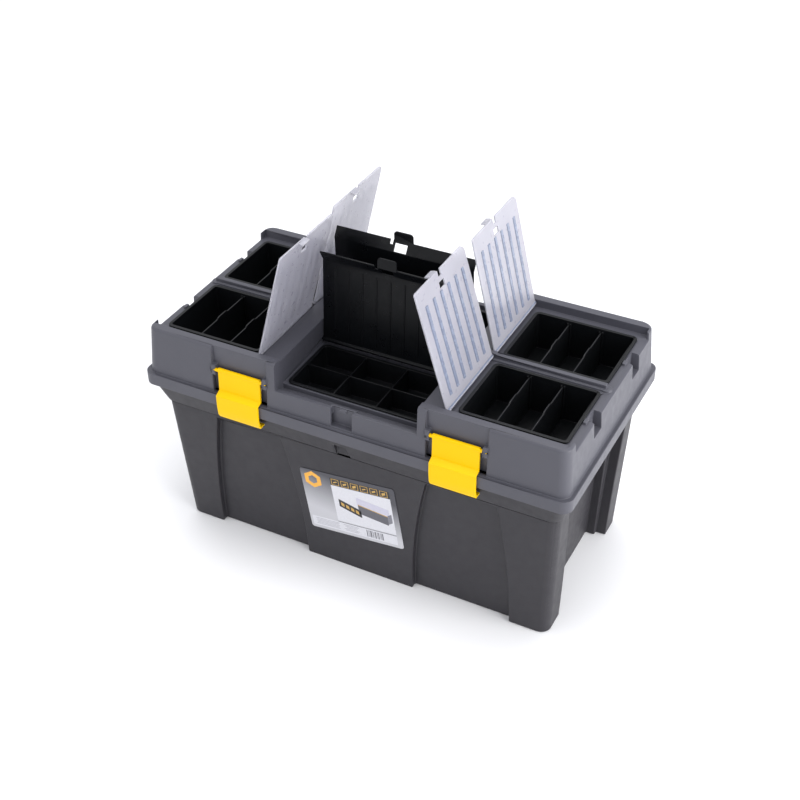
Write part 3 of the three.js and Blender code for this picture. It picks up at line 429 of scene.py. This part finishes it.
def pick_only(piece: bpy.types.Object) -> None:
    """Makes a piece the only selected and active one.

    Args:
        piece: The piece.
    """
    deselect_everything()
    piece.select_set(True)
    bpy.context.view_layer.objects.active = piece


def apply_modifier(piece: bpy.types.Object, kind: str, **values: object) -> None:
    """Adds a modifier to a piece and applies it.

    Args:
        piece: The piece.
        kind: Blender's modifier type.
        values: The modifier's settings.
    """
    pick_only(piece)
    modifier = piece.modifiers.new(kind.lower(), kind)
    for name, value in values.items():
        setattr(modifier, name, value)
    bpy.ops.object.modifier_apply(modifier=modifier.name)


def settle(piece: bpy.types.Object) -> None:
    """Puts a piece's place, turn and scale into its mesh.

    Args:
        piece: The piece.
    """
    pick_only(piece)
    bpy.ops.object.transform_apply(location=True, rotation=True, scale=True)


def slot_of(node: str) -> str:
    """The material slot that the record gives a CAD node.

    Args:
        node: The node's name.

    Returns:
        The slot's name.
    """
    return next(part["material_slot"] for part in frame["record"]["subparts"] if part["node"] == node)


def body_of(node: str) -> str:
    """The body that a CAD node rides on.

    Args:
        node: The node's name.

    Returns:
        The body's name.
    """
    bodies = frame["record"]["behaviour"]["bodies"]
    return next(body for body, nodes in bodies.items() if node in nodes)


def hold_inside(piece: bpy.types.Object, source: bpy.types.Object) -> None:
    """Moves any point of a piece that lies past another mesh's extent back onto it.

    Args:
        piece: The piece.
        source: The object whose own extent is the limit.
    """
    points = [vertex.co for vertex in source.data.vertices]
    low = [min(point[axis] for point in points) for axis in range(3)]
    high = [max(point[axis] for point in points) for axis in range(3)]
    for vertex in piece.data.vertices:
        vertex.co = [min(max(vertex.co[axis], low[axis]), high[axis]) for axis in range(3)]


@dataclass
class Workshop:
    """Makes pieces and keeps one material for each finish."""

    materials: dict = field(default_factory=dict)

    def material(self, finish: Finish) -> bpy.types.Material:
        """The material of a finish, built once.

        Args:
            finish: The finish.

        Returns:
            Its material.
        """
        if finish.name not in self.materials:
            self.materials[finish.name] = finish.material()
        return self.materials[finish.name]

    def dress(self, piece: bpy.types.Object, *finishes: Finish) -> None:
        """Gives a piece its materials.

        Args:
            piece: The piece.
            finishes: In the order of the faces' material numbers.
        """
        piece.data.materials.clear()
        for finish in finishes:
            piece.data.materials.append(self.material(finish))

    def rounded(self, node: str, edge: Edge, segments: int = 2) -> bpy.types.Object:
        """A copy of a CAD node with moulded, rounded edges, which stands for that node.

        The copy is kept inside the node's own extent.

        Args:
            node: The CAD node's name.
            edge: The radius of its edges.
            segments: Steps in each rounded edge.

        Returns:
            The new piece.
        """
        source = frame["nodes"][node]
        piece = bpy.data.objects.new(f"{node}_moulding", source.data.copy())
        bpy.context.scene.collection.objects.link(piece)
        pick_only(piece)
        bpy.ops.object.mode_set(mode="EDIT")
        bpy.ops.mesh.select_all(action="SELECT")
        bpy.ops.mesh.remove_doubles(threshold=MERGE_DISTANCE)
        bpy.ops.object.mode_set(mode="OBJECT")
        apply_modifier(
            piece, "BEVEL", width=edge.value, segments=segments, limit_method="ANGLE",
            angle_limit=ROUNDED_ANGLE, use_clamp_overlap=False, miter_outer="MITER_ARC",
        )
        hold_inside(piece, source)
        bpy.ops.object.shade_smooth_by_angle(angle=SMOOTH_ANGLE)
        apply_modifier(piece, "WEIGHTED_NORMAL", keep_sharp=True, weight=NORMAL_WEIGHT)
        slot = slot_of(node)
        self.dress(piece, FINISHES[slot])
        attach(piece, body_of(node))
        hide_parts(node)
        LOG.info("%s: %d faces", piece.name, len(piece.data.polygons))
        return piece


# ---- sub-assemblies ----
@dataclass
class Shells:
    """The bin and the lid with the hinge pins between them."""

    workshop: Workshop

    def build(self) -> None:
        """Makes both shells and the pins."""
        self.workshop.rounded("bin", Edge.BROAD, segments=3)
        self.workshop.rounded("lid", Edge.MIDDLE, segments=2)
        for side in ("left", "right"):
            self.workshop.rounded(f"hinge_pin_{side}", Edge.FINE)


@dataclass
class Latches:
    """The two yellow snap latches."""

    workshop: Workshop

    def build(self) -> None:
        """Makes a latch for each side."""
        for side in ("left", "right"):
            self.workshop.rounded(f"latch_{side}", Edge.THIN, segments=3)


@dataclass
class CarryHandle:
    """The folding handle with its two pins."""

    workshop: Workshop

    def build(self) -> None:
        """Makes the handle and the pins."""
        self.workshop.rounded("carry_handle", Edge.BROAD, segments=3)
        for side in ("left", "right"):
            self.workshop.rounded(f"handle_pin_{side}", Edge.FINE)


@dataclass
class SmallPartTrays:
    """The six trays in the lid and the removable dividers of the four side trays."""

    workshop: Workshop

    def build(self) -> None:
        """Makes the trays and the dividers."""
        for front in ("front", "back"):
            self.workshop.rounded(f"centre_tray_{front}", Edge.THIN)
            for side in ("left", "right"):
                self.workshop.rounded(f"side_tray_{front}_{side}", Edge.THIN)
                for place in ("inner", "outer"):
                    self.workshop.rounded(f"divider_{front}_{side}_{place}", Edge.THIN)


@dataclass
class ClearCovers:
    """The four translucent covers of the side trays."""

    workshop: Workshop
    step: float = 0.1 * MM  # height of one level
    slack: float = 1.5  # levels between two faces that count as level
    reach: float = 20 * MM
    rise_limits: tuple = (0.15, 1.1)

    def tint_bars(self, cover: bpy.types.Object) -> None:
        """Gives the moulded bars, which are thicker, their bluer cast.

        The flat faces lie on three levels: the plain side, the barred side and, smallest in all, the
        tops of the bars.

        Args:
            cover: The cover.
        """
        faces = cover.data.polygons
        normal = max(faces, key=lambda face: face.area).normal.copy()
        along = normal.cross(Vector((0.0, 1.0, 0.0)))
        areas: dict = {}
        for face in faces:
            if abs(face.normal.dot(normal)) > PARALLEL:
                level = round(face.center.dot(normal) / self.step)
                areas[level] = areas.get(level, 0.0) + face.area
        plain, barred, tops = sorted(areas, key=areas.get, reverse=True)[:3]
        if abs(tops - plain) < abs(tops - barred):
            barred = plain
        on_top = [face for face in faces if abs(face.center.dot(normal) / self.step - tops) < self.slack]
        run = sorted(face.center.dot(along) for face in on_top)
        strays = len(run) // 8
        first, last = run[strays] - self.reach, run[-1 - strays] + self.reach
        lowest, highest = self.rise_limits
        for face in faces:
            rise = (face.center.dot(normal) / self.step - barred) / (tops - barred)
            on_bar = lowest < rise < highest and first < face.center.dot(along) < last
            face.material_index = 1 if on_bar else 0

    def build(self) -> None:
        """Makes a cover for each side tray."""
        for front in ("front", "back"):
            for side in ("left", "right"):
                cover = self.workshop.rounded(f"clear_cover_{front}_{side}", Edge.FINE, segments=2)
                self.workshop.dress(cover, COVER_CLEAR, COVER_BAR)
                self.tint_bars(cover)


@dataclass
class CentreCovers:
    """The two black covers of the centre trays."""

    workshop: Workshop

    def build(self) -> None:
        """Makes both covers."""
        for front in ("front", "back"):
            self.workshop.rounded(f"centre_cover_{front}", Edge.THIN, segments=3)


@dataclass
class LiftOutTray:
    """The tray that hangs in the bin, with its handle."""

    workshop: Workshop

    def build(self) -> None:
        """Makes the tray and its handle."""
        self.workshop.rounded("lift_out_tray", Edge.MIDDLE)
        self.workshop.rounded("lift_out_handle", Edge.BROAD, segments=3)


@dataclass
class Sticker:
    """The sticker on the bin's front, with plain pictures in place of any name.

    Places and sizes of the print are millimetres from the sticker's middle; its turn is in degrees.
    """

    workshop: Workshop
    turn: float = 5.9
    ink: float = 0.06 * MM
    facing: float = 0.9  # least part of a front face's normal that points to the front
    lean: float = 0.0
    middle: Vector = field(default_factory=Vector)

    def find_plane(self) -> None:
        """Takes the sticker's middle and lean from its CAD node."""
        forward = [face for face in frame["nodes"]["label"].data.polygons if face.normal.y < -self.facing]
        front = max(forward, key=lambda face: face.area)
        low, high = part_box("label")
        self.lean = math.atan2(-front.normal.z, -front.normal.y)
        centre = (low + high) / 2
        offset = front.normal.dot(front.center - centre)
        self.middle = centre + front.normal * offset

    def placed(self, u: float, v: float) -> Matrix:
        """Where a point of the print lies.

        Args:
            u: Metres to the right of the sticker's middle.
            v: Metres above it.

        Returns:
            The place with +Z out of the sticker.
        """
        upright = Matrix.Rotation(math.pi / 2 + self.lean, 4, "X")
        crooked = Matrix.Rotation(math.radians(self.turn), 4, "Z")
        return Matrix.Translation(self.middle) @ upright @ crooked @ Matrix.Translation((u, v, 0.0))

    def patch(self, name: str, finish: Ink, u: float, v: float, width: float, height: float,
              layer: int = 1, slant: float = 0.0) -> None:
        """Prints one patch, a thin slanted rectangle.

        Args:
            name: The piece's name.
            finish: Its ink.
            u: Its middle to the right of the sticker's middle, in millimetres.
            v: Its middle above the sticker's middle, in millimetres.
            width: In millimetres.
            height: In millimetres.
            layer: Inks below it, plus one.
            slant: How far its right side is shifted up, in millimetres.
        """
        deselect_everything()
        bpy.ops.mesh.primitive_plane_add(size=1)
        piece = bpy.context.object
        piece.name = name
        for vertex in piece.data.vertices:
            across, up, _ = vertex.co
            vertex.co = (across * width * MM, (up * height + across * slant) * MM, layer * self.ink)
        self.print_flat(piece, finish, u, v)

    def print_flat(self, piece: bpy.types.Object, finish: Ink, u: float, v: float) -> None:
        """Puts a flat shape on the sticker as ink.

        Args:
            piece: The flat shape, drawn about the origin.
            finish: Its ink.
            u: Its middle to the right of the sticker's middle, in millimetres.
            v: Its middle above the sticker's middle, in millimetres.
        """
        apply_modifier(piece, "SOLIDIFY", thickness=self.ink, offset=-1.0)
        piece.matrix_world = self.placed(u * MM, v * MM)
        settle(piece)
        self.workshop.dress(piece, finish)
        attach(piece, "base")

    def emblem(self, finish: Ink, u: float, v: float, radius: float) -> None:
        """Prints a plain hexagonal nut as the sticker's mark.

        Args:
            finish: Its ink.
            u: Its middle to the right of the sticker's middle, in millimetres.
            v: Its middle above the sticker's middle, in millimetres.
            radius: To its corners, in millimetres.
        """
        rim = 0.42 * radius * MM
        deselect_everything()
        bpy.ops.mesh.primitive_circle_add(vertices=6, radius=radius * MM, fill_type="NGON")
        nut = bpy.context.object
        nut.name = "sticker_nut_mark"
        bpy.ops.object.mode_set(mode="EDIT")
        bpy.ops.mesh.inset(thickness=rim)
        bpy.ops.mesh.delete(type="FACE")
        bpy.ops.object.mode_set(mode="OBJECT")
        for vertex in nut.data.vertices:
            vertex.co.z = self.ink
        self.print_flat(nut, finish, u, v)

    def icons(self) -> None:
        """Prints the row of framed icons on its black band."""
        first, pitch, level = -17, 13.4, 37
        width, height, border = 10.5, 9.5, 0.8
        self.patch("sticker_icon_band", PRINT_BLACK, 17, level, 82, 11)
        for number in range(6):
            u = first + pitch * number
            field_name = f"sticker_icon_field_{number + 1}"
            mark_name = f"sticker_icon_mark_{number + 1}"
            self.patch(f"sticker_icon_{number + 1}", PRINT_GOLD, u, level, width, height, layer=2)
            self.patch(field_name, PRINT_BLACK, u, level, width - 2 * border, height - 2 * border, layer=3)
            self.patch(mark_name, PRINT_GOLD, u, level, 5.0, 1.8 + number % 3, layer=4, slant=2.0)

    def picture(self) -> None:
        """Prints the picture of a box and a tray with tools."""
        self.patch("sticker_picture", PRINT_WHITE, 17, 2, 82, 58)
        self.patch("sticker_picture_box_front", PRINT_GREY, 30, -3, 40, 14, layer=2, slant=-8)
        self.patch("sticker_picture_box_end", PRINT_END_GREY, 53, -3, 6, 14, layer=2, slant=4)
        self.patch("sticker_picture_box_lid", PRINT_LILAC, 31, 10, 44, 12, layer=2, slant=-8)
        self.patch("sticker_picture_box_edge", PRINT_GOLD, 30, 4.4, 40, 1.2, layer=3, slant=-8)
        self.patch("sticker_picture_tray", PRINT_BLACK, -2, -1, 30, 12, layer=2, slant=-11)
        for number in range(4):
            u, v = -12 + 6.5 * number, 2.6 - 2.4 * number
            self.patch(f"sticker_picture_tool_{number + 1}", PRINT_GOLD, u, v, 4.2, 5.0, layer=3, slant=-2)

    def foot(self) -> None:
        """Prints the foot: two columns of rules and a row of bars."""
        self.patch("sticker_text_field", PRINT_WHITE, -2, -36.5, 120, 15)
        thickness = 0.8
        for number in range(5):
            v = -31.8 - 2.2 * number
            outer, inner = 34 - 3 * (number % 2), 22 - 4 * (number % 3)
            self.patch(f"sticker_rule_{number + 1}", PRINT_PALE, -40, v, outer, thickness, layer=2)
            self.patch(f"sticker_rule_mid_{number + 1}", PRINT_PALE, -6, v, inner, thickness, layer=2)
        widths = (1.2, 0.6, 0.6, 1.6, 0.9, 0.5, 1.3, 0.7, 1.1, 0.5, 0.8, 1.4)
        u, space = 16.0, 1.1
        for number, width in enumerate(widths):
            self.patch(f"sticker_bar_{number + 1}", PRINT_GREY, u, -36.5, width, 11, layer=2)
            u += width + space
        self.patch("sticker_foot_line", PRINT_GREY, 17, -28.6, 82, 0.7, layer=3)

    def build(self) -> None:
        """Makes the film and all that is printed on it."""
        self.workshop.rounded("label", Edge.FINE, segments=1)
        self.find_plane()
        self.emblem(PRINT_ORANGE, -49, 33, 13)
        self.icons()
        self.picture()
        self.foot()


@dataclass
class Studio:
    """Floor, lights and camera.

    Places are in metres and angles in degrees. Each light has a name, a place, a side and a power.
    """

    lens: float = 60.93
    sensor: float = 36.0
    place: tuple = (0.63107, -1.20102, 1.19515)
    azimuth: float = 27.785
    elevation: float = 36.590
    roll: float = -0.787
    aim: tuple = (0.0, 0.0, 0.2)
    floor_size: float = 12.0
    floor_drop: float = 0.5 * MM
    paper: tuple = (0.93, 0.93, 0.94, 1.0)
    paper_roughness: float = 0.9
    sky: tuple = (0.95, 0.96, 1.0, 1.0)
    sky_strength: float = 0.85
    lights: tuple = (
        ("key", (2.2, -0.6, 1.9), 1.6, 34.0),
        ("top", (-0.3, 0.4, 2.4), 2.0, 32.0),
        ("front fill", (-1.4, -2.2, 1.2), 1.6, 8.0),
        ("end fill", (2.8, 0.15, 0.35), 1.2, 60.0),
    )

    def camera(self) -> None:
        """Sets the camera at the view of the box's right front corner from above."""
        data = bpy.data.cameras.new("camera")
        data.lens = self.lens
        data.sensor_width = self.sensor
        camera = bpy.data.objects.new("camera", data)
        bpy.context.scene.collection.objects.link(camera)
        turn = Matrix.Rotation(math.radians(self.azimuth), 4, "Z")
        tilt = Matrix.Rotation(math.radians(90 - self.elevation), 4, "X")
        roll = Matrix.Rotation(math.radians(self.roll), 4, "Z")
        camera.matrix_world = Matrix.Translation(self.place) @ turn @ tilt @ roll
        bpy.context.scene.camera = camera

    def softbox(self, name: str, place: tuple, size: float, power: float) -> None:
        """Adds a square area light that faces the box.

        Args:
            name: The light's name.
            place: Its place in metres.
            size: Its side in metres.
            power: Its power in watts.
        """
        data = bpy.data.lights.new(name, "AREA")
        data.size = size
        data.energy = power
        light = bpy.data.objects.new(name, data)
        bpy.context.scene.collection.objects.link(light)
        beam = Vector(self.aim) - Vector(place)
        light.matrix_world = Matrix.Translation(place) @ beam.to_track_quat("-Z", "Y").to_matrix().to_4x4()

    def floor(self) -> None:
        """Lays the pale paper floor just under the box."""
        deselect_everything()
        bpy.ops.mesh.primitive_plane_add(size=self.floor_size, location=(0, 0, -self.floor_drop))
        floor = bpy.context.object
        floor.name = "floor"
        settle(floor)
        paper = Graph.named("studio paper")
        paper.shader.inputs["Base Color"].default_value = self.paper
        paper.shader.inputs["Roughness"].default_value = self.paper_roughness
        floor.data.materials.append(paper.material)

    def surroundings(self) -> None:
        """Makes the even light from all round."""
        world = bpy.data.worlds.new("studio")
        world.use_nodes = True
        background = world.node_tree.nodes["Background"]
        background.inputs["Color"].default_value = self.sky
        background.inputs["Strength"].default_value = self.sky_strength
        bpy.context.scene.world = world
        bpy.context.scene.view_settings.view_transform = "Standard"

    def build(self) -> None:
        """Makes the floor, the lights and the camera."""
        self.floor()
        self.surroundings()
        for light in self.lights:
            self.softbox(*light)
        self.camera()


def main() -> None:
    """Builds the whole box around the CAD frame."""
    logging.basicConfig(level=logging.INFO, format="%(message)s")
    workshop = Workshop()
    for part in (Shells, LiftOutTray, SmallPartTrays, ClearCovers, CentreCovers, CarryHandle, Latches,
                 Sticker):
        part(workshop).build()
    Studio().build()


if __name__ == "__main__":
    main()
